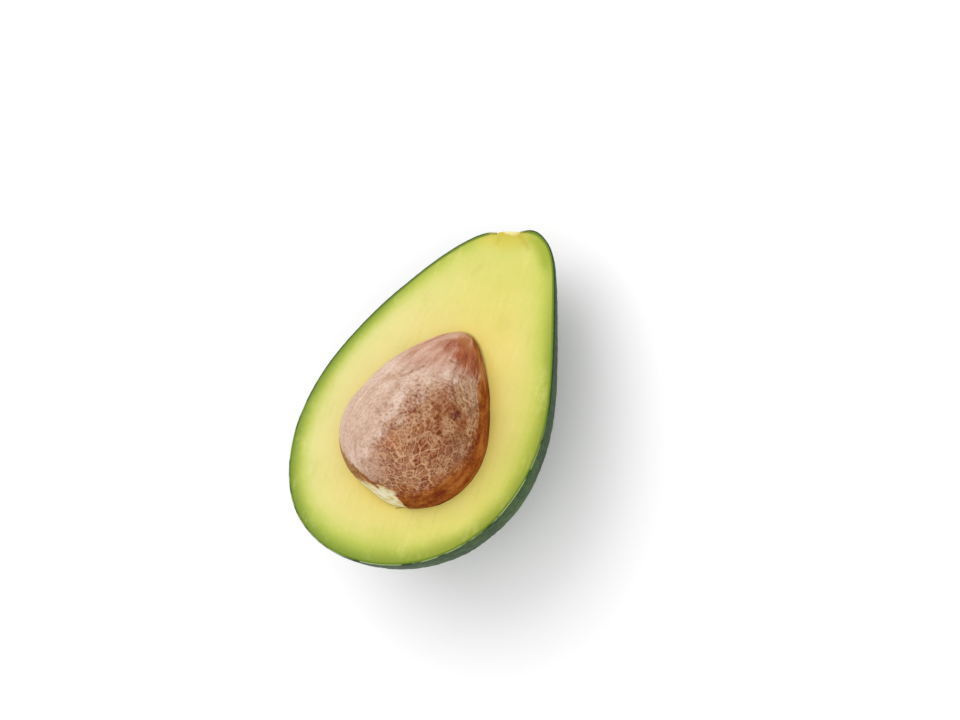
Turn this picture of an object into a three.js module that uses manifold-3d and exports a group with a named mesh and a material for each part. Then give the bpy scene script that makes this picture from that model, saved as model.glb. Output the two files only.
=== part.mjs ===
// Half an avocado, cut lengthwise, with its stone still seated in the flesh. It lies on its back, cut face up.
// Units are millimetres, +Z is up, and the origin is the middle of the small flat spot that the half rests on.
//
// The fruit grew round one long axis, so each of its layers is a unit sphere swollen by the same formula.
// In the fruit's own frame Y runs from the blossom end to the stem end, and the knife went through Z = 0.
// The whole half then leans about X, stem end down, to where its weight stands over the flat spot.

import * as THREE from "three";
import { ImprovedNoise } from "three/addons/math/ImprovedNoise.js";
import { mergeVertices } from "three/addons/utils/BufferGeometryUtils.js";
import Module from "manifold-3d";

const wasm = await Module();
wasm.setup();

// The fruit's outside
const FRUIT_LENGTH = 108;
// Its half-width where it stands out most and how that changes along the fruit, as powers of the height on
// the unit sphere. The fruit is broad towards the blossom end and narrows into a neck towards the stem.
const FRUIT_SWELL = [35.7, -12.3, -3.6, 2.9, 5.5];
const DEPTH_RATIO = 0.953; // the fruit is a little flatter than it is wide
const BLOSSOM_BEND = -6.5; // how far each end leans sideways off the long axis
const STEM_BEND = 10;

// The dip that the stem grew out of, and the bare scar at the bottom of it
const STEM_X = 5.5;
const DIP_DEPTH = 3.1;
const DIP_RADIUS = 4.5;
const SCAR_RADIUS = 3.3;

// The skin and its pebbles
const SKIN = 1.0;
const PEBBLE_PITCH = 5.0;
const PEBBLE_HEIGHT = 0.5;

// The stone, an egg with its point towards the stem
const STONE_LENGTH = 53.2;
const STONE_SWELL = [20.4, -7.6, -0.9];
const STONE_X = -0.75;
const STONE_Y = -7.6;
const STONE_TURN = THREE.MathUtils.degToRad(-10);

// How the half rests
const LEAN = THREE.MathUtils.degToRad(10.2);
const FLAT_DEPTH = 0.35; // how much of the round back the flat spot takes off
const PRESSED_RADIUS = 9; // the pebbles fade out this close to the flat spot's middle

const GAP = 0.3; // between layers that touch
const CUTTER = 4 * FRUIT_LENGTH; // a block larger than the fruit

// How many sides each layer has round the long axis and along it
const SKIN_SIDES = [120, 64];
const LINING_SIDES = [60, 32];
const FLESH_SIDES = [72, 40];
const STONE_SIDES = [48, 30];
const HOLE_SIDES = 24;

const COLOURS = { skin: 0x1f3d17, flesh: 0xdcd66c, stone: 0x8a5537 };

// A polynomial in x with these coefficients, lowest power first.
function polynomial(coefficients, x) {
  return coefficients.reduceRight((sum, k) => sum * x + k, 0);
}

// The fruit's surface in the unit direction d, raised by lift along d.
function fruitPoint(d, lift) {
  const swell = polynomial(FRUIT_SWELL, d.y);
  const station = (1 + d.y) / 2;
  const bend = BLOSSOM_BEND * (1 - station) ** 3 + STEM_BEND * station ** 4;
  const p = new THREE.Vector3(bend + d.x * swell, (d.y * FRUIT_LENGTH) / 2, d.z * swell * DEPTH_RATIO);
  p.addScaledVector(d, lift);
  if (d.y > 0) {
    const fromStem = Math.hypot(p.x - STEM_X, p.z);
    p.y -= DIP_DEPTH * Math.exp(-((fromStem / DIP_RADIUS) ** 2));
  }
  return p;
}

// The stone's surface in the unit direction d, raised by lift along d.
function stonePoint(d, lift) {
  const swell = polynomial(STONE_SWELL, d.y);
  const p = new THREE.Vector3(d.x * swell, (d.y * STONE_LENGTH) / 2, d.z * swell);
  p.addScaledVector(d, lift);
  p.applyAxisAngle(new THREE.Vector3(0, 0, 1), STONE_TURN);
  return p.add(new THREE.Vector3(STONE_X, STONE_Y, 0));
}

// How far the pebbled skin stands out of the smooth fruit at point p. Folding noise over at zero turns it into
// round bumps with creases between them. The skin is pressed smooth round the rest spot.
const noise = new ImprovedNoise();
function pebbles(p) {
  const q = p.clone().divideScalar(PEBBLE_PITCH);
  const bump = Math.abs(noise.noise(q.x, q.y, q.z));
  const fade = THREE.MathUtils.smoothstep(p.distanceTo(restPoint), PRESSED_RADIUS / 2, PRESSED_RADIUS);
  return PEBBLE_HEIGHT * fade * bump;
}

// A closed solid: the vertices of a sphere, each sent to where place puts its direction.
function swollenSphere([around, along], place) {
  const sphere = new THREE.SphereGeometry(1, around, along);
  const position = sphere.getAttribute("position");
  const d = new THREE.Vector3();
  for (let i = 0; i < position.count; i++) {
    d.fromBufferAttribute(position, i).normalize();
    const p = place(d);
    position.setXYZ(i, p.x, p.y, p.z);
  }
  return solidOf(sphere);
}

// A geometry as a solid that can be joined and cut.
function solidOf(geometry) {
  const bare = geometry.clone();
  bare.deleteAttribute("normal");
  bare.deleteAttribute("uv");
  const merged = mergeVertices(bare, 1e-4);
  const vertProperties = new Float32Array(merged.getAttribute("position").array);
  const triVerts = new Uint32Array(merged.index.array);
  return new wasm.Manifold(new wasm.Mesh({ numProp: 3, vertProperties, triVerts }));
}

// A solid as a named mesh with its own finish.
function meshOf(name, solid, roughness) {
  const { numProp, vertProperties, triVerts } = solid.getMesh();
  const buffer = new THREE.InterleavedBuffer(vertProperties, numProp);
  const geometry = new THREE.BufferGeometry();
  geometry.setAttribute("position", new THREE.InterleavedBufferAttribute(buffer, 3, 0));
  geometry.setIndex(new THREE.BufferAttribute(triVerts, 1));
  const faceted = geometry.toNonIndexed();
  faceted.computeVertexNormals();
  const material = new THREE.MeshStandardMaterial({ color: COLOURS[name], roughness, metalness: 0 });
  const mesh = new THREE.Mesh(faceted, material);
  mesh.name = name;
  return mesh;
}

// The place on the smooth back that is lowest once the half leans.
function lowestPoint() {
  const lean = new THREE.Euler(-LEAN, 0, 0);
  const steps = 720;
  let lowest = null;
  for (let i = 0; i <= steps; i++) {
    for (let j = 0; j <= steps; j++) {
      const along = (Math.PI * i) / steps;
      const across = (Math.PI * j) / steps;
      const ring = Math.sin(along);
      const d = new THREE.Vector3(ring * Math.cos(across), -Math.cos(along), -ring * Math.sin(across));
      const p = fruitPoint(d, 0);
      const height = p.clone().applyEuler(lean).z;
      if (!lowest || height < lowest.height) lowest = { height, p };
    }
  }
  return lowest.p;
}
const restPoint = lowestPoint();

// All the space above the knife's cut.
function aboveTheCut() {
  const block = new THREE.BoxGeometry(CUTTER, CUTTER, CUTTER);
  block.translate(0, 0, CUTTER / 2);
  return solidOf(block);
}

// All the space below the flat spot, which is level once the half leans.
function belowTheFlatSpot() {
  const block = new THREE.BoxGeometry(CUTTER, CUTTER, CUTTER);
  block.translate(0, 0, FLAT_DEPTH - CUTTER / 2);
  block.rotateX(LEAN);
  block.translate(restPoint.x, restPoint.y, restPoint.z);
  return solidOf(block);
}

// The round hole that the stem left in the skin.
function stemHole() {
  const hole = new THREE.CylinderGeometry(SCAR_RADIUS, SCAR_RADIUS, FRUIT_LENGTH / 4, HOLE_SIDES);
  hole.translate(STEM_X, FRUIT_LENGTH / 2, 0);
  return solidOf(hole);
}

// The skin is a thin shell with its pebbles on the outside only.
function makeSkin() {
  const outside = swollenSphere(SKIN_SIDES, (d) => fruitPoint(d, pebbles(fruitPoint(d, 0))));
  const inside = swollenSphere(LINING_SIDES, (d) => fruitPoint(d, -SKIN));
  const shell = outside.subtract(aboveTheCut()).subtract(inside);
  return meshOf("skin", shell.subtract(stemHole()).subtract(belowTheFlatSpot()), 0.5);
}

// The flesh fills the skin, apart from the socket that the stone sits in.
function makeFlesh() {
  const body = swollenSphere(FLESH_SIDES, (d) => fruitPoint(d, -SKIN - GAP));
  const socket = swollenSphere(STONE_SIDES, (d) => stonePoint(d, GAP));
  return meshOf("flesh", body.subtract(aboveTheCut()).subtract(socket), 0.4);
}

// The knife went round the stone, so it is whole and half of it stands out of the cut.
function makeStone() {
  return meshOf("stone", swollenSphere(STONE_SIDES, (d) => stonePoint(d, 0)), 0.65);
}

const half = new THREE.Group();
half.add(makeSkin(), makeFlesh(), makeStone());
half.rotation.x = -LEAN;
const settled = restPoint.clone().applyEuler(half.rotation);
half.position.set(-settled.x, -settled.y, -settled.z - FLAT_DEPTH);

const avocado = new THREE.Group();
avocado.add(half);

export default avocado;
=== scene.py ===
# %% [markdown]
# # Half an avocado with its stone
#
# The object is one half of a ripe avocado, cut lengthwise and lying on its back with the cut face up. It has
# three pieces: a thin pebbled skin, the flesh inside it, and the whole stone, half of which stands out of the
# cut. The imported model holds them as plain solids. This script replaces each solid with a finer surface that
# is grown from the same formula, gives it a finish made of shader nodes, and then sets up floor, lights and
# camera.
#
# The imported model is loaded first, because it fixes where everything is.

from itertools import product

import bmesh
import bpy
import numpy as np
from mathutils import Euler, Matrix, Vector


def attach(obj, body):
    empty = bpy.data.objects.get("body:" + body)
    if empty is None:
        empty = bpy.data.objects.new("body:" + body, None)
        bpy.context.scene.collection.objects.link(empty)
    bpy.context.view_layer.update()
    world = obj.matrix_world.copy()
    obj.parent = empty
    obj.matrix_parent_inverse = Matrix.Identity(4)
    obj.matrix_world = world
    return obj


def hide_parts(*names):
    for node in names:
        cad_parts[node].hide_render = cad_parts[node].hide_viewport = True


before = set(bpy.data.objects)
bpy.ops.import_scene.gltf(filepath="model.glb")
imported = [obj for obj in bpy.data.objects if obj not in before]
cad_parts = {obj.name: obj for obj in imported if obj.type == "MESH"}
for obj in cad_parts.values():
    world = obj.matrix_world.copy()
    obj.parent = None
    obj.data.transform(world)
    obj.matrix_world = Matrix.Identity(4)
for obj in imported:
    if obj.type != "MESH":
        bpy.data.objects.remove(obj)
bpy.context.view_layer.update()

# %% [markdown]
# ## Sizes
#
# Every size below is in millimetres, as in the part's own drawing, and so are the formulas. Only the last
# step of making a mesh turns them into Blender's metres. The fruit is described in its own frame: Y runs from
# the blossom end to the stem end, Z = 0 is the knife's cut, and the back of the half lies below it.

# %% The fruit's driving sizes
MM = 0.001

FRUIT_LENGTH = 108
FRUIT_SWELL = [35.7, -12.3, -3.6, 2.9, 5.5]
DEPTH_RATIO = 0.953
BLOSSOM_BEND = -6.5
STEM_BEND = 10
STEM_X = 5.5
DIP_DEPTH = 3.1
DIP_RADIUS = 4.5
SCAR_RADIUS = 3.3
SKIN = 1.0

STONE_LENGTH = 53.2
STONE_SWELL = [20.4, -7.6, -0.9]
STONE_X = -0.75
STONE_Y = -7.6
STONE_TURN = np.radians(-10)

LEAN = np.radians(10.2)
FLAT_DEPTH = 0.35
print("fruit", FRUIT_LENGTH, "mm long, stone", STONE_LENGTH, "mm long")

# %% [markdown]
# ## The growth formula
#
# A fruit could be modelled by pushing the points of a sphere about by hand, but every layer of this one, the
# outside of the skin, its inside and the flesh, has the same form a little further in. So one function gives
# the point that lies in a given direction, and each layer asks it for its own depth. A direction is a point
# of a unit sphere. The stone has a function of the same kind.

# %% Fruit and stone as functions of a direction
def polynomial(coefficients, x):
    """Sum of the coefficients times rising powers of x, lowest power first."""
    return np.polynomial.polynomial.polyval(x, coefficients)


def stem_dip(x, z):
    """How deep the surface sinks round the stem: a bell shape round the stem's axis."""
    return DIP_DEPTH * np.exp(-((np.hypot(x - STEM_X, z) / DIP_RADIUS) ** 2))


def fruit_point(d, lift=0.0):
    """The fruit's surface in the directions d, raised by lift along d. The half-width is a polynomial of the
    direction's y, the two ends bend sideways, and the stem end sinks in by its dip."""
    swell = polynomial(FRUIT_SWELL, d[..., 1])
    station = (1 + d[..., 1]) / 2
    bend = BLOSSOM_BEND * (1 - station) ** 3 + STEM_BEND * station**4
    x = bend + d[..., 0] * (swell + lift)
    y = d[..., 1] * (FRUIT_LENGTH / 2 + lift)
    z = d[..., 2] * (swell * DEPTH_RATIO + lift)
    return np.stack([x, y - np.where(d[..., 1] > 0, stem_dip(x, z), 0), z], -1)


def stone_own_point(d, lift=0.0):
    """The stone's surface in its own frame, with the point towards +Y: a half-width that is a polynomial of
    the direction's y, raised by lift along d."""
    swell = polynomial(STONE_SWELL, d[..., 1]) + lift
    return np.stack([d[..., 0] * swell, d[..., 1] * (STONE_LENGTH / 2 + lift), d[..., 2] * swell], -1)


def stone_point(d, lift=0.0):
    """The same surface in the fruit's frame: turned about Z, then moved to where the stone sits."""
    own = stone_own_point(d, lift)
    x = own[..., 0] * np.cos(STONE_TURN) - own[..., 1] * np.sin(STONE_TURN) + STONE_X
    y = own[..., 0] * np.sin(STONE_TURN) + own[..., 1] * np.cos(STONE_TURN) + STONE_Y
    return np.stack([x, y, own[..., 2]], -1)


def direction(along, across):
    """Unit directions with their poles on Y: along runs from the blossom end, across goes round from +X
    through the back."""
    ring = np.sin(along)
    return np.stack(np.broadcast_arrays(ring * np.cos(across), -np.cos(along), -ring * np.sin(across)), -1)


# %% [markdown]
# ## How the half rests
#
# A half on its back rolls until its weight stands over the place that touches the table. The part's drawing
# leans it by a fixed angle, and its origin is the middle of a small flat spot there. The same lowest place is
# found here by looking at the whole back, and `settled` then takes points from the fruit's frame to the
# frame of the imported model.

# %% Lean the fruit onto its flat spot
def leaned(p):
    """Points turned about X by the lean, stem end down."""
    cosine = np.cos(LEAN)
    sine = np.sin(LEAN)
    y = cosine * p[..., 1] + sine * p[..., 2]
    z = cosine * p[..., 2] - sine * p[..., 1]
    return np.stack([p[..., 0], y, z], -1)


half_turn = np.linspace(0, np.pi, 721)
back = fruit_point(direction(half_turn[:, None], half_turn[None, :]))
rest_point = back.reshape(-1, 3)[leaned(back)[..., 2].argmin()]


def settled(p):
    """Points of the fruit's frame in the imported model's frame, still in millimetres."""
    return leaned(p) - leaned(rest_point) - [0, 0, FLAT_DEPTH]


print("the half rests on", rest_point.round(1), "of its own frame")

# %% [markdown]
# ## Natural unevenness
#
# Nothing that grows is smooth. Two repeatable kinds of randomness give the shapes their unevenness. `drift`
# is a slow swell, made by blending random numbers on the corners of a lattice. `cells` drops one seed in each
# cube of a lattice and measures how far the nearest two are, which draws rounded pebbles with creases between
# them. Both work on whole arrays of points, and both come from a hash of the cube's place, so every run gives
# the same fruit.

# %% Random numbers on a lattice
def lattice_random(cell, channel):
    """A repeatable number from 0 to 1 for each cube: its whole coordinates times large primes, with the high
    bits folded down twice."""
    word = 0xFFFFFFFF
    mixed = (cell[..., 0] * 374761393 + cell[..., 1] * 668265263 + cell[..., 2] * 2147483647) & word
    mixed = (mixed + channel * 1013904223) & word
    mixed = ((mixed ^ (mixed >> 13)) * 1274126177) & word
    mixed = ((mixed ^ (mixed >> 16)) * 668265263) & word
    return (mixed ^ (mixed >> 15)) / (word + 1.0)


def drift(p, pitch, channel=7):
    """Smooth noise from -1 to 1 with a swell about every pitch: the numbers at a cube's corners, blended with
    weights that leave each corner flat."""
    q = p / pitch
    corner = np.floor(q).astype(np.int64)
    t = q - corner
    t = t * t * t * (t * (t * 6 - 15) + 10)
    total = 0
    for step in product((0, 1), repeat=3):
        weight = np.prod(np.where(step, t, 1 - t), axis=-1)
        total = total + weight * lattice_random(corner + step, channel)
    return 2 * total - 1


def cells(p, pitch):
    """Distances from each point to the nearest and the second nearest seed, in pitches."""
    q = p / pitch
    home = np.floor(q).astype(np.int64)
    first = np.full(q.shape[:-1], 9.0)
    second = first
    for step in product((-1, 0, 1), repeat=3):
        cube = home + step
        seed = cube + np.stack([lattice_random(cube, axis) for axis in range(3)], -1)
        distance = np.linalg.norm(q - seed, axis=-1)
        second = np.minimum(second, np.maximum(first, distance))
        first = np.minimum(first, distance)
    return first, second


def smooth(low, high, x):
    """0 below low, 1 above high, and an S-shaped step between them."""
    t = np.clip((x - low) / (high - low), 0, 1)
    return t * t * (3 - 2 * t)


# %% [markdown]
# ## From a grid to a mesh
#
# Each piece is a grid of points whose rows close on themselves, like the hoops of a barrel. Where a row
# shrinks to one point the surface has a pole, and welding the points there closes it. The last row may be
# zipped shut instead, point against point, which the rim of the stem's hole needs. The winding is chosen so
# that the enclosed volume comes out positive, which means that the faces point outwards.

# %% Make a closed piece from a grid
def piece(name, grid, fields, zipped=False):
    """A mesh object from a grid of points in the fruit's frame. fields are named numbers or vectors for each
    point, which the piece's finish can read."""
    rows, columns = grid.shape[:2]
    index = np.arange(rows * columns).reshape(rows, columns)
    ahead = np.roll(index, -1, axis=1)
    faces = np.stack([index[:-1], ahead[:-1], ahead[1:], index[1:]], -1).reshape(-1, 4)
    if zipped:
        near = np.arange(columns // 2 - 1)
        last = index[-1]
        closing = np.stack([last[near], last[near + 1], last[-near - 2], last[-near - 1]], -1)
        faces = np.vstack([faces, closing])
    points = (settled(grid) * MM).reshape(-1, 3)
    a, b, c, e = (points[faces[:, corner]] for corner in range(4))
    if (np.cross(a, b) * c + np.cross(a, c) * e).sum() < 0:
        faces = faces[:, ::-1]
    mesh = bpy.data.meshes.new(name)
    mesh.from_pydata(points, [], faces)
    for field, values in fields.items():
        vector = np.ndim(values) == 3
        attribute = mesh.attributes.new(field, "FLOAT_VECTOR" if vector else "FLOAT", "POINT")
        attribute.data.foreach_set("vector" if vector else "value", np.float32(values).ravel())
    weld = bmesh.new()
    weld.from_mesh(mesh)
    bmesh.ops.remove_doubles(weld, verts=weld.verts, dist=1e-4 * MM)
    open_edges = sum(not edge.is_manifold for edge in weld.edges)
    weld.to_mesh(mesh)
    weld.free()
    mesh.shade_smooth()
    mesh.set_sharp_from_angle(angle=np.radians(50))
    made = bpy.data.objects.new(name, mesh)
    bpy.context.scene.collection.objects.link(made)
    print(name, len(mesh.polygons), "faces,", open_edges, "open edges")
    return made


# %% [markdown]
# ## Shader maths as expressions
#
# A finish is a small calculation that runs at every point of a surface. Blender draws it as a graph of nodes,
# which is slow to read as code. Here `Value` wraps a socket so that `1 - mask * 0.5` adds the Math nodes that
# it stands for, and `Finish.node` makes every other kind of node. Colours are written as they should look
# in the finished picture. The lamps make white paper a little brighter than the picture can show, as in a
# studio, so `seen` works out which darker paint ends up with that look.

# %% Values, finishes and colours
LIGHT_LEVEL = 1.2
GLOSS = 0.028


class Value:
    """A number, colour or vector that varies over a surface. Operators work on numbers."""

    def __init__(self, finish, socket):
        self.finish = finish
        self.socket = socket

    def math(self, operation, *numbers):
        return self.finish.node("ShaderNodeMath", {"operation": operation}, dict(enumerate(numbers)))

    def __add__(self, other):
        return self.math("ADD", self, other)

    def __sub__(self, other):
        return self.math("SUBTRACT", self, other)

    def __rsub__(self, other):
        return self.math("SUBTRACT", other, self)

    def __mul__(self, other):
        return self.math("MULTIPLY", self, other)

    __radd__ = __add__
    __rmul__ = __mul__

    def step(self, low, high):
        """0 where this is below low, 1 above high, and an S-shaped step between them."""
        settings = {"interpolation_type": "SMOOTHSTEP"}
        inputs = {"Value": self, "From Min": low, "From Max": high}
        return self.finish.node("ShaderNodeMapRange", settings, inputs)


class Finish:
    """One material, with a Principled shader whose fixed sockets are given by name."""

    def __init__(self, name, fixed):
        self.material = bpy.data.materials.new(name)
        self.material.use_nodes = True
        self.tree = self.material.node_tree
        self.shader = self.tree.nodes["Principled BSDF"]
        for socket, value in fixed.items():
            self.shader.inputs[socket].default_value = value
        metres = self.node("ShaderNodeTexCoord", output="Object")
        self.place = self.scaled(metres, 1 / MM)

    def node(self, kind, settings=None, inputs=None, output=0):
        """A node of this kind. Its settings are made first, then its sockets get values or links."""
        node = self.tree.nodes.new(kind)
        for name, value in (settings or {}).items():
            if name == "stops":
                ramp = node.color_ramp
                for place, colour in value[2:]:
                    ramp.elements.new(place)
                for element, (place, colour) in zip(ramp.elements, value):
                    element.position = place
                    element.color = colour
            else:
                setattr(node, name, value)
        for socket, value in (inputs or {}).items():
            self.feed(node.inputs[socket], value)
        return Value(self, node.outputs[output])

    def feed(self, socket, value):
        if isinstance(value, Value):
            self.tree.links.new(value.socket, socket)
        else:
            socket.default_value = value

    def field(self, name, output="Fac"):
        """A field that was stored on the piece's points."""
        return self.node("ShaderNodeAttribute", {"attribute_name": name}, output=output)

    def noise(self, pitch, detail=2.0, place=None, warp=0.0):
        """Cloudy noise from 0 to 1, mostly near 0.5, with a swell about every pitch."""
        inputs = {"Vector": place or self.place, "Scale": 1 / pitch, "Detail": detail, "Distortion": warp}
        return self.node("ShaderNodeTexNoise", inputs=inputs)

    def vector(self, operation, *inputs, output=0):
        return self.node("ShaderNodeVectorMath", {"operation": operation}, dict(enumerate(inputs)), output)

    def scaled(self, place, factor):
        """A place scaled alike along all axes, by a number or a Value."""
        return self.node("ShaderNodeVectorMath", {"operation": "SCALE"}, {0: place, "Scale": factor})

    def stretched(self, place, *factors):
        """A place scaled by a factor along each axis."""
        return self.vector("MULTIPLY", place, factors)

    def along_axis(self, place, *axis):
        """How far a place lies along an axis."""
        return self.vector("DOT_PRODUCT", place, axis, output="Value")

    def noise_shift(self, place, pitch, amount):
        """A place pushed about by noise with a swell about every pitch. Along each axis the push lies between
        0 and twice the amount, mostly near the amount."""
        inputs = {"Vector": place, "Scale": 1 / pitch, "Detail": 2.0}
        push = self.node("ShaderNodeTexNoise", inputs=inputs, output=1)
        return self.vector("MULTIPLY_ADD", push, (2 * amount,) * 3, place)

    def nearest(self, place, pitch):
        """Distance to the nearest of seeds that are about one pitch apart, in pitches."""
        return self.node("ShaderNodeTexVoronoi", inputs={"Vector": place, "Scale": 1 / pitch})

    def near(self, place, middle, inner, outer, ragged=0.0):
        """1 within the inner distance of the middle and 0 past the outer one. ragged moves the edge."""
        return 1 - (self.vector("DISTANCE", place, middle, output="Value") + ragged).step(inner, outer)

    def mix(self, factor, first, second):
        """From the first colour, at factor 0, to the second, at factor 1."""
        return self.node("ShaderNodeMix", {"data_type": "RGBA"}, {0: factor, 6: first, 7: second}, output=2)

    def ramp(self, factor, stops):
        """A colour picked by factor from stops of (place, colour)."""
        return self.node("ShaderNodeValToRGB", {"stops": stops}, {"Fac": factor})

    def bump(self, height):
        """A normal tilted by a fine relief whose height is in millimetres."""
        return self.node("ShaderNodeBump", inputs={"Height": height, "Distance": MM})

    def wear(self, made, **sockets):
        """Feeds the shader, puts the finish on a piece and tells how large its graph is."""
        for name, value in sockets.items():
            self.feed(self.shader.inputs[name.replace("_", " ")], value)
        made.data.materials.append(self.material)
        print(self.material.name, "has", len(self.tree.nodes), "nodes")


def seen(red, green, blue):
    """The paint that looks like this screen colour, 0 to 255, once it is lit: its linear light less what the
    gloss adds, but at least a quarter of it, over how bright a white paint would be."""
    share = np.array([red, green, blue]) / 255
    linear = np.where(share <= 0.04045, share / 12.92, ((share + 0.055) / 1.055) ** 2.4)
    return (*(float(part) for part in np.maximum(linear - GLOSS, linear / 4) / LIGHT_LEVEL), 1.0)


# %% [markdown]
# ## The skin
#
# The peel of a green-skinned avocado is about a millimetre thick and as tough as leather. Outside it has
# low rounded pebbles two or three millimetres across, and faint ribs run down from the stem. A bump map
# alone would leave the outline smooth, so the pebbles are real relief here. The skin is one closed shell: a
# hoop goes over the outside, round the cut edge, back along the inside and round the other cut edge. The
# hoops start at the blossom end and stop at the hole that the stem left, where the shell is zipped shut.
# The cut edge is rounded off slightly, because that is where a real rim catches the light.

# %% Shape the skin
OUTSIDE_POINTS = 190
EDGE_POINTS = 5
HOOPS = 244
EDGE_ROUNDING = 0.16
PEBBLE_PITCH = 2.7
PEBBLE_HEIGHT = 0.2
RIBS = 13
RIB_HEIGHT = 0.3
LIP_HEIGHT = 0.3
SHOULDER_X = 11.5
SHOULDER_HEIGHT = 0.35
LIP_WIDTH = 1.2
PRESSED_RADIUS = 9


def from_scar(p):
    """How far outside the hole's edge p lies, measured square to the fruit's axis. At the blossom end it is
    one fruit length, which is far from any hole."""
    return np.where(p[..., 1] > 0, np.hypot(p[..., 0] - STEM_X, p[..., 2]) - SCAR_RADIUS, FRUIT_LENGTH)


def skin_thickness(p):
    """The skin's full thickness, tapering off towards the hole that the stem left."""
    return SKIN * (0.3 + 0.7 * smooth(-1, 5, from_scar(p)))


def skin_relief(p):
    """How far the outside stands out at p, and how much of that is pebble. A pebble is high where the two
    nearest seeds differ in distance and has a crease where they are equal. Ribs are waves round the long
    axis that fade out away from the stem, a low lip runs round the hole, and the shoulder is one bell-shaped
    bump beside it. The relief is weaker along the cut, and near the rest spot it is pressed flat."""
    first, second = cells(p + 0.5 * drift(p, 2.3)[..., None], PEBBLE_PITCH)
    pebble = smooth(0, 0.45, second - first) * (1 - 0.45 * first**2)
    strength = (0.8 + 0.4 * drift(p, 15)) * (0.35 + 0.65 * smooth(0, 14, -p[..., 2]))
    turn = np.arctan2(p[..., 2], p[..., 0] - STEM_X)
    rib = np.cos(RIBS * turn + 1.8 * drift(p, 17, 3)) * smooth(6, 46, p[..., 1]) * smooth(0, 7, from_scar(p))
    lip = LIP_HEIGHT * np.exp(-((from_scar(p) / LIP_WIDTH) ** 2))
    beside_stem = ((p[..., 0] - SHOULDER_X) / 3.5) ** 2 + (p[..., 2] / 6) ** 2
    shoulder = np.exp(-beside_stem) * smooth(42, 48, p[..., 1])
    pressed = smooth(0.3 * PRESSED_RADIUS, PRESSED_RADIUS, np.linalg.norm(p - rest_point, axis=-1))
    height = (PEBBLE_HEIGHT * pebble + RIB_HEIGHT * rib) * strength + 0.1 * drift(p, 11, 5) + lip
    return (height + SHOULDER_HEIGHT * shoulder) * pressed, pebble


def make_skin():
    """A hoop is outside, cut edge, inside, cut edge. It starts in the middle of one cut edge, so that its two
    halves mirror each other. Each of its points has a place across the back, a depth into the skin and a
    drop below the cut that rounds off the outer corner."""
    across = np.linspace(0, np.pi, OUTSIDE_POINTS)
    bend = np.linspace(0, np.pi / 2, EDGE_POINTS)[1:]
    edge_depth = EDGE_ROUNDING * (1 - np.cos(bend))
    edge_drop = EDGE_ROUNDING * (1 - np.sin(bend))
    side = np.zeros(len(bend))
    hoop_across = np.concatenate([across, side + np.pi, across[::-1], side])
    hoop_depth = np.concatenate([0 * across, edge_depth, 0 * across, edge_depth[::-1]])
    hoop_drop = np.concatenate([0 * across + EDGE_ROUNDING, edge_drop, 0 * across, edge_drop[::-1]])
    inside = np.concatenate([0 * across, side, 0 * across + 1, side])
    hoop = np.roll([hoop_across, hoop_depth, hoop_drop, inside], len(side) // 2, axis=1)
    hoop_across, hoop_depth, hoop_drop, inside = hoop

    scar_tilt = np.arcsin((STEM_BEND - STEM_X) / polynomial(FRUIT_SWELL, 1))
    scar_angle = np.arcsin(SCAR_RADIUS / polynomial(FRUIT_SWELL, 1))
    along = np.linspace(0, 1, HOOPS)[:, None] * (np.pi - scar_angle)
    d = direction(along, hoop_across)
    d = np.stack([d[..., 0] * np.cos(scar_tilt) - d[..., 1] * np.sin(scar_tilt),
                  d[..., 0] * np.sin(scar_tilt) + d[..., 1] * np.cos(scar_tilt), d[..., 2]], -1)
    bare = fruit_point(d)
    height, pebble = skin_relief(bare)
    depth = hoop_depth + skin_thickness(bare) * inside
    grid = fruit_point(d, height * (1 - inside) - depth)
    grid[..., 2] = np.minimum(grid[..., 2], -hoop_drop)
    flat_height = settled(rest_point)[2] + FLAT_DEPTH
    below = np.minimum(settled(grid)[..., 2] - flat_height, 0)
    grid[..., 1] += below * np.sin(LEAN)
    grid[..., 2] -= below * np.cos(LEAN)
    fields = {"cut_depth": depth, "pebble": pebble, "grown": grid}
    return piece("avocado_skin", grid, fields, zipped=True)


skin = make_skin()
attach(skin, "root")
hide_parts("skin")

# %% [markdown]
# ## The skin's finish
#
# From a step away the peel is one dark green, but close to it is cloudy over a few centimetres and sprinkled
# with small pits and pale dots, the pores that the fruit breathed through. Its creases and pits are painted
# darker as their shade, so the tops of the pebbles look lighter. Where the knife went through it, the peel is
# dark at its outer corner and turns to bright green within a millimetre. In the blossom end's half that
# corner has a painted highlight here and there.
# The stored `cut_depth` says how far into the peel a point lies, and the stored `grown` is its place in the
# fruit's own frame. The creases and pits are strongest well below the cut.

# %% Finish the skin's outside
peel = Finish("skin_finish", {"IOR": 1.45, "Specular IOR Level": 0.24})
pebble = peel.field("pebble")
cloud = peel.noise(18, detail=3)
blotch = peel.noise(5, detail=4)
grain = peel.noise(0.8, detail=3)
green = peel.ramp(cloud * 0.8 + blotch * 0.4 - 0.1, [
    (0.3, seen(42, 64, 28)), (0.5, seen(58, 83, 35)), (0.7, seen(80, 105, 48))])
grown = peel.field("grown", "Vector")
well_below = peel.along_axis(grown, 0, 0, -1).step(1, 14)
# Painted shade: the creases between the pebbles are darker, more so well below the cut.
raised = (pebble + grain * 0.5).step(0.1, 0.8)
peel_with_painted_shade = peel.mix(1 - (1 - raised) * (0.3 + well_below * 0.3), seen(36, 56, 28), green)
pit_place = peel.noise_shift(peel.place, 2.0, 0.8)
pit = 1 - peel.nearest(pit_place, 1.9).step(0.10, 0.3)
pit = pit * peel.noise(6).step(0.4, 0.56) * well_below
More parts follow.
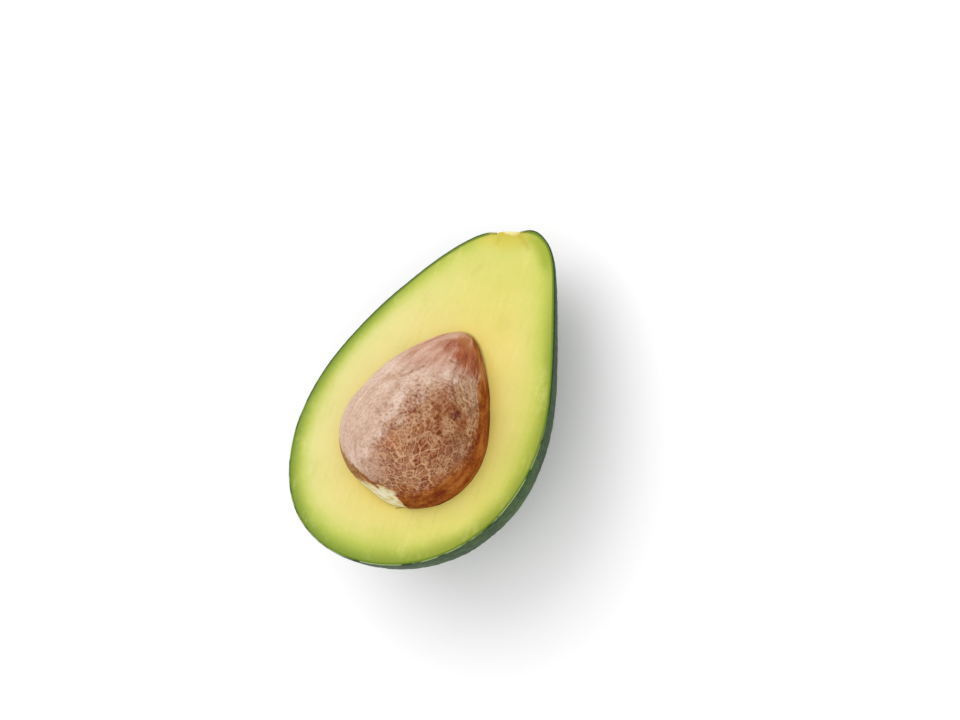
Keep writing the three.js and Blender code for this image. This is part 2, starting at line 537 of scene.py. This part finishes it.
# Painted shade in the pits: they are mixed towards near black, more so well below the cut.
peel_with_painted_shade = peel.mix(pit * 0.85, peel_with_painted_shade, seen(20, 32, 14))
dot = (1 - peel.nearest(peel.place, 2.4).step(0.05, 0.13)) * blotch.step(0.46, 0.6)
peel_with_painted_shade = peel.mix(dot * 0.6, peel_with_painted_shade, seen(132, 146, 92))
print("the peel's outside takes", len(peel.tree.nodes), "nodes")

# %% [markdown]
# The cut edge is a ramp over the depth. Round the stem's hole the peel is thin and corky, so it gets a pale
# olive ring there, on the outside and on the edge alike.

# %% Finish the skin's cut edge
depth = peel.field("cut_depth")
rim = peel.ramp(depth + (grain - 0.5) * 0.2, [
    (0.2, seen(84, 104, 38)), (0.5, seen(112, 136, 46)), (0.95, seen(140, 162, 58))])
to_blossom = peel.along_axis(grown, 0, -1, 0)
# A painted highlight: in patches on the blossom end's half, the outer corner of the cut edge turns pale.
painted_glint = peel.noise(5).step(0.4, 0.54) * to_blossom.step(-5, 20)
corner = peel.mix(painted_glint, seen(54, 72, 28), seen(178, 192, 138))
rim = peel.mix(1 - depth.step(0.14, 0.42), rim, corner)
colour = peel.mix(depth.step(0.03, 0.1), peel_with_painted_shade, rim)
by_scar = peel.near(grown, (STEM_X - 0.6, 52, 0), 4.0, 7.0, (blotch - 0.5) * 4 + (grain - 0.5) * 3)
colour = peel.mix(by_scar * 0.85, colour, seen(180, 174, 82))
relief = grain * 0.06 + peel.noise(1.5, detail=2) * 0.3 - pit * 0.2
roughness = 0.5 - pebble * 0.08 + grain * 0.12
peel.wear(skin, Base_Color=colour, Roughness=roughness, Normal=peel.bump(relief))

# %% [markdown]
# ## The stone
#
# The stone is an egg in a papery brown coat. The coat is the outermost skin of the seed. On this one it is
# pinkish and dry over most of the visible side, darker and orange-brown on the right and round the base, and
# torn at the base, where the pale seed shows. Part of that darkness on the right and in the socket is painted
# shade. The edges of these zones are real little steps and folds, so they are worked out as fields first, and
# the same fields then shape the relief and pick the colours.

# %% Shape the stone
STONE_ROUND = 360
STONE_RINGS = 262
STRAND_SPREAD = 8


def coat_edge(own):
    """Height above the cut at which the dry coat ends. On both sides it is highest at the base and comes down
    in two steps towards the point, at places of their own."""
    y = own[..., 1]
    right = 6.4 + 4.0 * np.exp(-((np.maximum(y + 15, 0) / 7) ** 2)) - 2.8 * smooth(9, 23, y)
    left = 10.8 - 3.3 * smooth(-21, -13, y) - 4.5 * smooth(6, 20, y)
    return left + (right - left) * smooth(-4, 7, own[..., 0])


def torn_edge(own):
    """Height above the cut at which the torn patch at the base ends. It falls off as a square on both sides
    of its highest part, and lies far below the cut everywhere but at the base."""
    x = own[..., 0]
    high = 9.2 - 0.04 * np.clip(3 - x, 0, 40) ** 2 - 0.9 * np.clip(x - 5.8, 0, 40) ** 2
    return high - 40 * smooth(-21, -17, own[..., 1])


def swelling(own, middle, width):
    """1 at the middle, falling off like a bell over the width."""
    return np.exp(-(((own - middle) / width) ** 2).sum(-1))


def stone_relief(own):
    """How far the surface stands out of the smooth egg at each place, and three fields for the finish: the
    heights in millimetres above the edges of the coat and of the torn patch, and how much of a fold there
    is. Slow swellings bring the egg to this stone's own outline, and a wide flap bulges low on the right."""
    x, y, z = own[..., 0], own[..., 1], own[..., 2]
    ragged = drift(own, 3.1) + 0.5 * drift(own, 1.1, 2)
    above_coat = z - coat_edge(own) + 0.5 * ragged + drift(own, 6, 6)
    above_torn = z - torn_edge(own) + 0.8 * ragged
    to_tip = smooth(1, 14, x + 0.4 * y)
    lip = np.exp(-((above_coat / 0.5) ** 2)) * to_tip
    folds = np.cos(1.3 * above_coat - 2 + 1.4 * drift(own, 6, 4)) ** 6 * to_tip
    folds = folds * smooth(0.5, 1.5, above_coat) * (1 - smooth(4, 9, above_coat))
    lumps = 0.2 * drift(own, 9) + 0.1 * drift(own, 3.3, 5)
    bared = 1 - smooth(-0.4, 0.4, above_coat)
    flap = np.exp(-(((x - 5) / 6) ** 2) - ((z - 2) / 5) ** 2) * (y < 0)
    fuller = 0.6 * smooth(6, 17, x) + 1.1 * smooth(3, 13, x) * (1 - smooth(-8, 10, y))
    fuller = fuller + 0.8 * swelling(own, (-9, -22, 8), 8) - 0.9 * swelling(own, (-15, -3, 13), 9)
    height = lumps + 0.14 * lip + 0.1 * folds - 0.08 * bared + 1.7 * flap + fuller
    return height, above_coat, above_torn, np.maximum(lip, folds)


def make_stone():
    """A grid of rings round the egg's long axis. Along a strand, which runs from base to point, the place
    stored as strand changes slowly, so a pattern made from it is drawn out that way."""
    along = np.linspace(0, np.pi, STONE_RINGS)[:, None]
    around = np.linspace(0, 2 * np.pi, STONE_ROUND, endpoint=False)[None, :]
    d = direction(along, around)
    own = stone_own_point(d)
    height, above_coat, above_torn, fold = stone_relief(own)
    strand = direction(np.pi / 2, around) * STRAND_SPREAD + [0.5, 0.12, 0.5] * own
    fields = {"own": own, "strand": strand, "above_coat": above_coat, "above_torn": above_torn, "fold": fold}
    return piece("avocado_stone", stone_point(d, height), fields)


stone = make_stone()
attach(stone, "root")
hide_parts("stone")

# %% [markdown]
# ## The flesh
#
# The flesh fills the skin from wall to wall, ends in the flat cut, and holds the stone in a socket. It could
# be cut out of a solid with booleans, but a surface worked out directly keeps even rows of points where the
# light falls. Looked at from above, each direction round the fruit gives one profile: from the bottom up the
# outside to the rim, across the cut face to the stone, and down into the socket. Turning through all
# directions closes the piece, with one pole under the skin and one under the stone.
#
# A knife leaves the cut almost flat, with waves a tenth of a millimetre high. At the stem's hole a plug of
# corky scar tissue comes right up to the outside. Three values are stored for the finish: how deep a point
# lies under the fruit's outside, how far it is from the stone, and its own place.

# %% Shape the flesh
PROFILES = 420
WALL_POINTS = 44
FACE_POINTS = 128
SOCKET_POINTS = 40
SOCKET_GAP = 0.03
SCAR_RISE = 0.35
STEM_TURN = np.radians(99)
FACE_WAVE = 0.1


def round_directions(turn, rise):
    """Unit directions with their poles on Z: turn goes round from +X, rise from straight down to level."""
    ring = np.sin(rise)
    return np.stack(np.broadcast_arrays(ring * np.cos(turn), ring * np.sin(turn), -np.cos(rise)), -1)


def distance_to(points, line):
    """Distance from each point to the nearest of the line's closely spaced points, one row at a time."""
    return np.stack([np.linalg.norm(row[:, None] - line, axis=-1).min(1) for row in points])


def make_flesh():
    """Profiles stand closer together at the stem, and their points closer together near the rim. Inside
    the stem's hole the wall comes up by the skin's thickness and fills the dip to the level of its edge."""
    turn = np.linspace(0, 2 * np.pi, PROFILES, endpoint=False)[None, :]
    turn = turn - 0.45 * np.sin(turn - STEM_TURN)
    rise = np.pi / 2 * np.linspace(0, 1, WALL_POINTS)[:, None] ** 0.6
    d = round_directions(turn, rise)
    outside = fruit_point(d)
    plug = 1 - smooth(0, 0.5, from_scar(outside))
    depth = skin_thickness(outside)
    filling = stem_dip(outside[..., 0], outside[..., 2]) - stem_dip(STEM_X + SCAR_RADIUS, 0) + SCAR_RISE
    wall = fruit_point(d, plug * (depth + filling) - depth)

    fine_turn = np.linspace(0, 2 * np.pi, 4 * PROFILES, endpoint=False)[None, :]
    level = np.array([[np.pi / 2]])
    outline = fruit_point(round_directions(fine_turn, level))[0]
    stone_line = stone_point(round_directions(fine_turn, level))[0]

    down = round_directions(turn, np.linspace(np.pi / 2, 0, SOCKET_POINTS)[:, None])
    socket = stone_point(down, stone_relief(stone_own_point(down))[0] + SOCKET_GAP)
    inward = np.linspace(0, 1, FACE_POINTS)[1:-1, None, None]
    face = wall[-1] * (1 - inward) + socket[0] * inward
    under_face = distance_to(face, outline)
    by_face = distance_to(face, stone_line)
    wave = FACE_WAVE * (drift(face, 13) + 0.4 * drift(face, 4.5, 3))
    face[..., 2] = wave * smooth(SKIN, 4, under_face) * smooth(0, 2, by_face)

    grid = np.concatenate([wall, face, socket])
    wall_size = wall.shape[:2]
    socket_size = socket.shape[:2]
    under = np.concatenate([np.full(wall_size, SKIN), under_face, np.full(socket_size, 16.0)])
    by_stone = np.concatenate([np.full(wall_size, 30.0), by_face, np.zeros(socket_size)])
    return piece("avocado_flesh", grid, {"under_skin": under, "by_stone": by_stone, "grown": grid})


flesh = make_flesh()
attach(flesh, "root")
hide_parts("flesh")

# %% [markdown]
# ## The flesh's finish
#
# Under the skin the flesh is bright green. Within about six millimetres it turns to a pale butter yellow,
# and close to the stone it is golden. The depth under the skin picks the colour from a ramp, and a little
# noise in that depth keeps the bands from looking drawn. The bands are narrower towards the stem and on the
# left, so the depth is stretched by a factor that changes over the face. Ripe flesh lets light in a little
# way, so the shader scatters some of it under the surface.

# %% The flesh's colours by depth
butter = Finish("flesh_finish", {
    "IOR": 1.4, "Specular IOR Level": 0.4,
    "Subsurface Weight": 0.2, "Subsurface Radius": (1.0, 0.75, 0.25), "Subsurface Scale": 3 * MM})
grown = butter.field("grown", "Vector")
under = butter.field("under_skin")
cloud = butter.noise(9, detail=3)
fine = butter.noise(1.3, detail=3)
fibre = butter.noise(1.2, detail=3, place=butter.stretched(grown, 1.0, 0.12, 1.0), warp=0.4)
to_stem = butter.along_axis(grown, 0, 1, 0)
to_right = butter.along_axis(grown, 1, -0.3, 0)
on_left = (0 - to_right).step(0, 40)
flat_place = butter.stretched(grown, 0.55, 1.0, 1.0)
ripe = butter.near(flat_place, (STEM_X * 0.55 - 1.6, 51, 0), 2.5, 7.5, (cloud - 0.5) * 4)
stretch = 0.8 + cloud * 0.32 + to_stem * 0.004 + on_left * 0.15 - to_right.step(0, 30) * 0.08
depth = under * (stretch + ripe * 0.6) + (fine - 0.5) * 0.6
colour = butter.ramp(depth * (1 / 16), [
    (0.06, seen(138, 160, 58)), (0.10, seen(149, 171, 65)), (0.16, seen(173, 190, 77)),
    (0.25, seen(200, 209, 98)), (0.38, seen(222, 220, 120)), (0.56, seen(235, 224, 132)),
    (0.80, seen(240, 224, 132)), (1.0, seen(240, 222, 126))])
print("the flesh's depth ramp takes", len(butter.tree.nodes), "nodes")

# %% [markdown]
# The ramp alone would look the same all round. Over it lie soft tints: gold and a thin brown line along the
# stone's edge, a painted sheen that makes the flesh paler on the left, deeper yellow on the right and in the
# neck, painted light that brightens the lower right against the stone's shadow, a greener side beside the
# stem, and fine light and dark flecks drawn out along the fruit, as its fibres are.

# %% Tint the flesh
by_stone = butter.field("by_stone")
gold = (1 - by_stone.step(0, 5)) * (cloud * 1.3 - 0.15)
colour = butter.mix(gold, colour, seen(242, 212, 104))
# A thin brown line right along the stone's edge.
colour = butter.mix((1 - by_stone.step(0.1, 0.8)) * 0.7, colour, seen(164, 120, 52))
# Painted sheen: the left of the cut face is paler, as if it reflected more light.
painted_sheen_left = (0 - to_right).step(-10, 30) * depth.step(2.5, 7)
colour = butter.mix(painted_sheen_left * 0.35, colour, seen(248, 242, 184))
colour = butter.mix(to_right.step(0, 40) * 0.2, colour, seen(222, 202, 76))
colour = butter.mix(to_stem.step(14, 42) * 0.55, colour, seen(212, 214, 100))
# Painted light: the lower right of the face is brightened against the shadow that the stone casts there.
painted_light_low_right = butter.near(grown, (16, -30, 0), 4, 25, (cloud - 0.5) * 5) * depth.step(1, 5)
colour = butter.mix(painted_light_low_right * 0.55, colour, seen(255, 244, 136))
stem_side = butter.near(grown, (16.5, 48, 0), 3.5, 9.5, (cloud - 0.5) * 3) * (1 - under.step(2, 6))
colour = butter.mix(stem_side * 0.75, colour, seen(162, 178, 42))
tint = (fibre - 0.5) * 0.6 + (cloud - 0.5) * 0.8 + (fine - 0.5) * 0.4
colour = butter.mix(tint.step(0.0, 0.35) * 0.25, colour, seen(250, 238, 158))
colour = butter.mix((0 - tint).step(0.0, 0.35) * 0.2, colour, seen(204, 190, 80))
colour = butter.mix(ripe * 0.65, colour, seen(226, 206, 86))
print("with its tints it has", len(butter.tree.nodes), "nodes")

# %% [markdown]
# Where the stem sat there is no green: the scar is cream, and yellow-brown streaks start from it, because the
# stem's fibres ran into the fruit there. A shred of the stone's coat also stuck to the cut at the base. Each
# of these is a short line between two places, made ragged by the fine noise.

# %% Finish the stem's end and the cut
STREAKS = [((3.2, 50.4, 0), (2.9, 47.6, 0), 0.6), ((9.0, 51.4, 0), (13.0, 48.0, 0), 0.6),
           ((1.9, 50.8, 0), (9.2, 51.2, 0), 0.35), ((0.3, 39.4, 0), (-1.4, 36.8, 0), 0.3)]


def near_segment(finish, place, start, end, width):
    """1 on the line from start to end, falling to 0 a width away from it. The distance is taken to the
    closest point of the line, which is the projection onto it kept between its ends."""
    run = Vector(end) - Vector(start)
    from_start = finish.vector("SUBTRACT", place, start)
    along = finish.along_axis(from_start, *(run / run.length_squared))
    kept = finish.node("ShaderNodeClamp", inputs={"Value": along})
    closest = finish.scaled(run, kept)
    return 1 - finish.vector("DISTANCE", from_start, closest, output="Value").step(0, width)


for start, end, strength in STREAKS:
    streak = near_segment(butter, grown, start, end, 1.3)
    colour = butter.mix(streak * (fine * 1.2 - 0.1) * strength, colour, seen(196, 166, 52))
low_place = butter.stretched(grown, 1.0, 2.2, 1.0)
pale = butter.near(low_place, (STEM_X + 0.2, 52.2 * 2.2, 0), 1.6, 3.8, (fine - 0.5) * 1.6)
colour = butter.mix(pale * 0.8, colour, seen(246, 236, 176))
shred = near_segment(butter, grown, (0.2, -36.3, 0), (4.4, -34.6, 0), 0.4)
colour = butter.mix(shred * 0.7, colour, seen(150, 112, 62))

relief = fine * 0.03 + fibre * 0.02 + butter.noise(0.35) * 0.012
butter.wear(flesh, Base_Color=colour, Roughness=0.4 + fine * 0.14, Normal=butter.bump(relief))

# %% [markdown]
# ## The stone's finish
#
# The coat has a mottled ground, a net of fine pale veins, and places where it is worn off. Each comes in a
# cell of its own. All of them read the place on the smooth egg that was stored as `own`, so a pattern stays
# where it is if the relief changes. The patterns come first: blotches, patches and specks are noise of three
# sizes. Streaks are noise too, but read from the stored `strand`, which changes slowly from base to point and
# so draws the noise out into fibres. The coat is dry as paper, so it has little gloss.

# %% The stone's patterns
paper = Finish("stone_finish", {"IOR": 1.4, "Specular IOR Level": 0.15})
own = paper.field("own", "Vector")
strand = paper.field("strand", "Vector")
blotch = paper.noise(4.5, detail=4, place=own)
patch = paper.noise(2.6, detail=4, place=paper.stretched(own, 1.0, 0.6, 1.0), warp=0.5)
speck = paper.noise(0.8, detail=4, place=own)
streak = paper.noise(0.9, detail=3, place=paper.noise_shift(strand, 4, 0.5))
long_streak = paper.noise(2.2, detail=4, place=paper.noise_shift(strand, 6, 0.6))
print("the stone's patterns take", len(paper.tree.nodes), "nodes")

# %% [markdown]
# The veins spread from a hub low on the front. The edges of a cell pattern draw such a net. Its space is
# pushed about by noise first, so that no vein is straight, and then divided by a small power of the distance
# from the hub, which makes the meshes wider further out. A second, finer net runs between the main veins.

# %% The stone's veins
VEIN_HUB = (11.0, -19.0, 14.0)
VEIN_STRETCH = 0.2


def net(place, pitch, width):
    """1 on the edges of cells one pitch across, falling to 0 a width away."""
    inputs = {"Vector": place, "Scale": 1 / pitch}
    edge = paper.node("ShaderNodeTexVoronoi", {"feature": "DISTANCE_TO_EDGE"}, inputs)
    return 1 - edge.step(0, width / pitch)


from_hub = paper.vector("SUBTRACT", paper.noise_shift(own, 3.5, 0.6), VEIN_HUB)
reach = paper.vector("LENGTH", from_hub, output="Value")
shrink = paper.node("ShaderNodeMath", {"operation": "POWER"}, {0: reach + 2, 1: -VEIN_STRETCH})
branched = paper.stretched(paper.scaled(from_hub, shrink), 1.0, 0.65, 1.0)
sideways = paper.vector("LENGTH", paper.stretched(from_hub, 1.3, 0.9, 1.0), output="Value")
by_hub = 1 - (sideways + (blotch - 0.5) * 14 + (speck - 0.5) * 8).step(6, 21)
vein = net(branched, 1.2, 0.13) * by_hub * speck.step(0.3, 0.5)
small_vein = net(branched, 0.62, 0.09) * (0.3 + by_hub * 0.7)
print("with the veins:", len(paper.tree.nodes), "nodes")

# %% [markdown]
# The coat is a pale pinkish tan on the left, umber in front, redder round the veins' hub, rosy towards the
# point and brick red just before it. The pale left and the umber front are partly the coat's own colours and
# partly painted light and shade: lighter on the upper left, where the light comes from, and darker away from
# it. Each zone is a soft ball round a place on the stone, given as middle, inner and outer distance. The
# patterns make its edge ragged, and it has a ramp of its own, so that no zone is one flat colour. The stains
# are smaller balls, each with one colour and a strength.

# %% The colours of the stone's coat
FRONT = ((16, -6, 11), 10, 22)
PALE_SIDE = ((14.6, 7.5, 9.6), 2, 7.5)
ROSY_END = ((-2, 24, 10), 8, 20)
BRICK_RED = ((7.5, 20.5, 7), 4.5, 9.5)
LIGHT_POINT = ((4, 26.5, 3), 3, 8)
STAINS = [
    ((14.8, 1.4, 13.2), 1.5, 6.0, (150, 92, 60), 0.7), ((9.7, 4.4, 16.6), 1.0, 4.4, (150, 88, 62), 0.75),
    ((11, -9.4, 18.5), 1.0, 4.6, (140, 80, 50), 0.75), ((16.2, -11, 14.3), 1.0, 3.5, (136, 76, 52), 0.7),
    ((4.5, -13.3, 20.2), 0.8, 3.2, (184, 108, 76), 0.55), ((18.6, -6.5, 11), 1.5, 5.5, (130, 82, 64), 0.75)]

# Partly painted light: the pale tan also stands for the upper left being lit more.
tan = paper.ramp(long_streak * 0.4 + speck * 0.35 + blotch * 0.25, [
    (0.38, seen(192, 156, 134)), (0.5, seen(217, 185, 165)), (0.62, seen(234, 208, 192))])
mottle = speck * 0.6 + patch * 0.4
umber = paper.ramp(mottle, [
    (0.4, seen(122, 70, 42)), (0.5, seen(156, 103, 68)), (0.6, seen(188, 144, 107))])
# Partly painted shade: the umber front also stands for the light falling off towards the right.
front = paper.near(own, *FRONT, (blotch - 0.5) * 14 + (speck - 0.5) * 8)
coat = paper.mix(front, tan, umber)
redder = paper.ramp(mottle, [(0.42, seen(126, 64, 38)), (0.58, seen(166, 98, 64))])
coat = paper.mix(by_hub * 0.8, coat, redder)
for middle, inner, outer, brown, strength in STAINS:
    ragged = (speck - 0.5) * outer + (patch - 0.5) * outer * 0.8
    coat = paper.mix(paper.near(own, middle, inner, outer, ragged) * strength, coat, seen(*brown))
pale_side = paper.near(own, *PALE_SIDE, (blotch - 0.5) * 8)
coat = paper.mix(pale_side * 0.5, coat, seen(166, 130, 100))
rosy = paper.ramp(long_streak * 0.75 + streak * 0.25, [
    (0.38, seen(182, 122, 103)), (0.5, seen(201, 152, 131)), (0.62, seen(219, 178, 161))])
coat = paper.mix(paper.near(own, *ROSY_END, (blotch - 0.5) * 8) * 0.85, coat, rosy)
brick = paper.ramp(long_streak * 0.7 + streak * 0.3, [
    (0.38, seen(148, 68, 42)), (0.62, seen(176, 96, 62))])
coat = paper.mix(paper.near(own, *BRICK_RED, (long_streak - 0.5) * 10) * 0.9, coat, brick)
light_point = paper.near(own, *LIGHT_POINT, (long_streak - 0.5) * 6)
coat = paper.mix(light_point * 0.6, coat, seen(196, 138, 94))
print("with the coat's zones:", len(paper.tree.nodes), "nodes")

# %% [markdown]
# Over the zones lie dark specks, a crackle of pale lines where the coat is finely wrinkled, one dark spot,
# and last the veins, which are the palest.

# %% Specks, crackle and veins on the coat
DARK_SPOT = ((14.6, 1.8, 13.5), 0.6, 2.6)

flecked = (1 - speck).step(0.52, 0.64) * (0.08 + front * 0.25)
colour = paper.mix(flecked, coat, seen(122, 70, 42))
wrinkled = (0.15 + pale_side * 0.3 + front * 0.35) * patch.step(0.34, 0.58)
crackle_place = paper.stretched(paper.noise_shift(own, 2.6, 0.9), 1.0, 0.7, 1.0)
crackle = net(crackle_place, 1.0, 0.16) * wrinkled
colour = paper.mix(crackle, colour, seen(214, 178, 142))
dark_spot = paper.near(own, *DARK_SPOT, (speck - 0.5) * 3.5)
colour = paper.mix(dark_spot * 0.9, colour, seen(108, 44, 20))
colour = paper.mix(small_vein * 0.35, colour, seen(204, 152, 116))
colour = paper.mix(vein * 0.85, colour, seen(226, 182, 142))
print("with specks, crackle and veins:", len(paper.tree.nodes), "nodes")

# %% [markdown]
# Below its ragged edge the dry coat is gone. The stone is orange-brown there, lighter at the point, duller at
# the lower left, and painted darker down in the socket as the shade where the flesh closes round it. Where it
# borders the veins, they run on over it a little. The coat's edge lies in small folds on the right, with a
# dark line of painted shadow under each. The torn patch at the base covers all of this with cream, frayed
# along the tear.

# %% Bare places, folds and the torn patch
BASE = ((15, -18, 6), 8, 19)
POINT = ((4, 24, 2), 6, 16)
LOWER_LEFT = ((-12, -22, 6), 6, 13)
FOLDED_EDGE = ((12, 11, 7), 5, 13)

above_coat = paper.field("above_coat")
at_base = paper.near(own, *BASE)
bare = paper.ramp(long_streak * 0.4 + speck * 0.25 + patch * 0.35, [
    (0.4, seen(122, 60, 30)), (0.5, seen(153, 86, 44)), (0.6, seen(183, 114, 66))])
point_bare = paper.ramp(long_streak, [(0.4, seen(164, 94, 54)), (0.6, seen(206, 148, 98))])
bare = paper.mix(paper.near(own, *POINT) * 0.75, bare, point_bare)
left_bare = paper.ramp(speck, [(0.4, seen(146, 100, 66)), (0.6, seen(190, 146, 104))])
bare = paper.mix(paper.near(own, *LOWER_LEFT) * 0.8, bare, left_bare)
# Painted shade: the bare stone is darker at and below the cut, where the flesh closes round it.
painted_socket_shade = 1 - paper.along_axis(own, 0, 0, 1).step(-2, 2)
bare = paper.mix(painted_socket_shade * 0.5, bare, seen(98, 54, 18))
ragged = (speck - 0.5) * (1.5 + at_base * 5) + (blotch - 0.5) * (1 + at_base * 5)
uncovered = 1 - (above_coat + ragged).step(-0.8 - at_base * 1.6, 0.4 + at_base * 2.4)
veined = vein * above_coat.step(-3, 1)
colour = paper.mix(uncovered * (1 - veined * 0.7), colour, bare)

fold = paper.field("fold") * paper.near(own, *FOLDED_EDGE, (blotch - 0.5) * 8)
# Painted shadow: a dark line just under each fold of the coat's edge.
painted_fold_shadow = fold.step(0.05, 0.3) * (1 - fold.step(0.35, 0.6))
colour = paper.mix(painted_fold_shadow * 0.4, colour, seen(112, 62, 36))
on_fold = fold.step(0.6, 0.9) * speck.step(0.42, 0.56)
colour = paper.mix(on_fold * 0.6, colour, seen(214, 176, 132))

fray = paper.noise(0.8, detail=3, place=paper.stretched(own, 0.22, 1.0, 1.0))
cream = paper.ramp(fray, [
    (0.36, seen(222, 198, 142)), (0.5, seen(242, 229, 184)), (0.6, seen(249, 243, 214))])
torn = 1 - (paper.field("above_torn") + (fray - 0.5) * 9).step(-1.4, 0.8)
colour = paper.mix(torn, colour, cream)
print("with the bare places:", len(paper.tree.nodes), "nodes")

# %% [markdown]
# A few creases cross the coat near the point. Each is a line between two places, lighter beside it and dark
# in the middle, where the crease's shade is painted, and noise makes it waver. Creases, veins and grain stand
# out or lie back by one or two tenths of a millimetre, which is too fine for this mesh, so they are a bump.

# %% Creases and the finished stone
CREASES = [
    ((-3.8, 4.6, 18.4), (-1.8, 7.2, 17.5), 0.8), ((-1.8, 7.2, 17.5), (-0.1, 10.2, 16.0), 1.0),
    ((4.5, 15.5, 11.9), (6.6, 15.6, 10.8), 1.0), ((8.9, 12.9, 11.4), (10.7, 12.8, 9.9), 1.0),
    ((9.5, 15.5, 8.5), (11.9, 13.2, 7.9), 0.9), ((11.9, 13.2, 7.9), (14.3, 10.8, 6.5), 0.8)]
CREASE_WIDTH = 1.5
WAVER = 1.0

wavering = paper.vector("SUBTRACT", paper.noise_shift(own, 3, WAVER), (WAVER,) * 3)
creased = 0
# Painted shade: the middle of each crease below is darkened, and the line is lighter beside it.
for start, end, strength in CREASES:
    line = near_segment(paper, wavering, start, end, CREASE_WIDTH)
    colour = paper.mix(line * strength * 0.3, colour, seen(222, 182, 154))
    dark = (line + (speck - 0.5) * 1.2).step(0.6, 1.15) * strength
    colour = paper.mix(dark * 0.6, colour, seen(136, 84, 60))
    creased = creased + dark

relief = vein * 0.1 + small_vein * 0.05 + crackle * 0.05 + speck * 0.1 + streak * 0.12 - creased * 0.2
paper.wear(stone, Base_Color=colour, Roughness=0.44 + speck * 0.2, Normal=paper.bump(relief))

# %% [markdown]
# ## Floor and lights
#
# The photograph is a studio shot on white, lit softly from the upper left. A large pale floor and an even
# white surrounding give most of the light. One wide lamp from the upper left models the stone and leaves the
# right side of the skin darker, and a faint one opposite keeps the shadows open. The floor lies a hair below
# the flat spot, because two faces in one plane would show as speckles from below.

# %% Floor and lights
FLOOR_SIDE = 6.0
FLOOR_GAP = 0.02 * MM


def make_floor():
    side = FLOOR_SIDE / 2
    mesh = bpy.data.meshes.new("floor")
    corners = [(-side, -side), (side, -side), (side, side), (-side, side)]
    mesh.from_pydata([(*corner, -FLOOR_GAP) for corner in corners], [], [(0, 1, 2, 3)])
    floor = bpy.data.objects.new("floor", mesh)
    bpy.context.scene.collection.objects.link(floor)
    paint = Finish("floor_finish", {"Base Color": (0.93, 0.93, 0.93, 1), "Roughness": 0.8})
    mesh.materials.append(paint.material)
    return floor


def make_lamp(name, place, width, power):
    """A square lamp that faces the middle of the fruit."""
    light = bpy.data.lights.new(name, "AREA")
    light.size = width
    light.energy = power
    lamp = bpy.data.objects.new(name, light)
    bpy.context.scene.collection.objects.link(lamp)
    lamp.location = place
    lamp.rotation_euler = (Vector((0, 0, 0.03)) - lamp.location).to_track_quat("-Z", "Y").to_euler()


floor = make_floor()
make_lamp("upper_left_lamp", (-0.62, 0.5, 0.95), 1.1, 6)
make_lamp("right_fill", (0.9, -0.5, 0.35), 0.3, 1.2)
world = bpy.data.worlds.new("studio")
world.use_nodes = True
world.node_tree.nodes["Background"].inputs["Color"].default_value = (1, 1, 1, 1)
world.node_tree.nodes["Background"].inputs["Strength"].default_value = 0.98
bpy.context.scene.world = world
bpy.context.scene.view_settings.view_transform = "Standard"
print("floor", FLOOR_SIDE, "m wide and two lamps")

# %% [markdown]
# ## Camera
#
# In the photograph the half leans back and faces the camera. Here it lies on its back, so the camera looks
# down on it, but it stands in the same place as seen from the cut face. That place was found by fitting the
# outline of the cut face to the photograph: three turns of the fruit before the camera, how far it is off the
# middle of the picture, and how far away.

# %% Camera
FRUIT_TURNS = Euler((np.radians(-13.5), np.radians(-22.5), np.radians(-13.7)), "XYZ")
OFF_MIDDLE = Vector((-12.7, -8.95, 0))
CAMERA_DISTANCE = 657.7
LENS = 85


def make_camera():
    """The fruit turned and moved before a camera at rest is undone, which leaves the fruit at rest and moves
    the camera. The lean and the move onto the flat spot follow."""
    before_camera = Matrix.Translation(OFF_MIDDLE) @ FRUIT_TURNS.to_matrix().to_4x4()
    camera_at_rest = Matrix.Translation((0, 0, CAMERA_DISTANCE))
    lean = Matrix.Rotation(-LEAN, 4, "X")
    onto_spot = Matrix.Translation(settled(np.zeros(3)))
    place = onto_spot @ lean @ before_camera.inverted() @ camera_at_rest
    place.translation = place.translation * MM
    camera = bpy.data.objects.new("camera", bpy.data.cameras.new("camera"))
    camera.data.lens = LENS
    camera.matrix_world = place
    bpy.context.scene.collection.objects.link(camera)
    bpy.context.scene.camera = camera
    print("camera at", [round(part, 3) for part in place.translation])


make_camera()
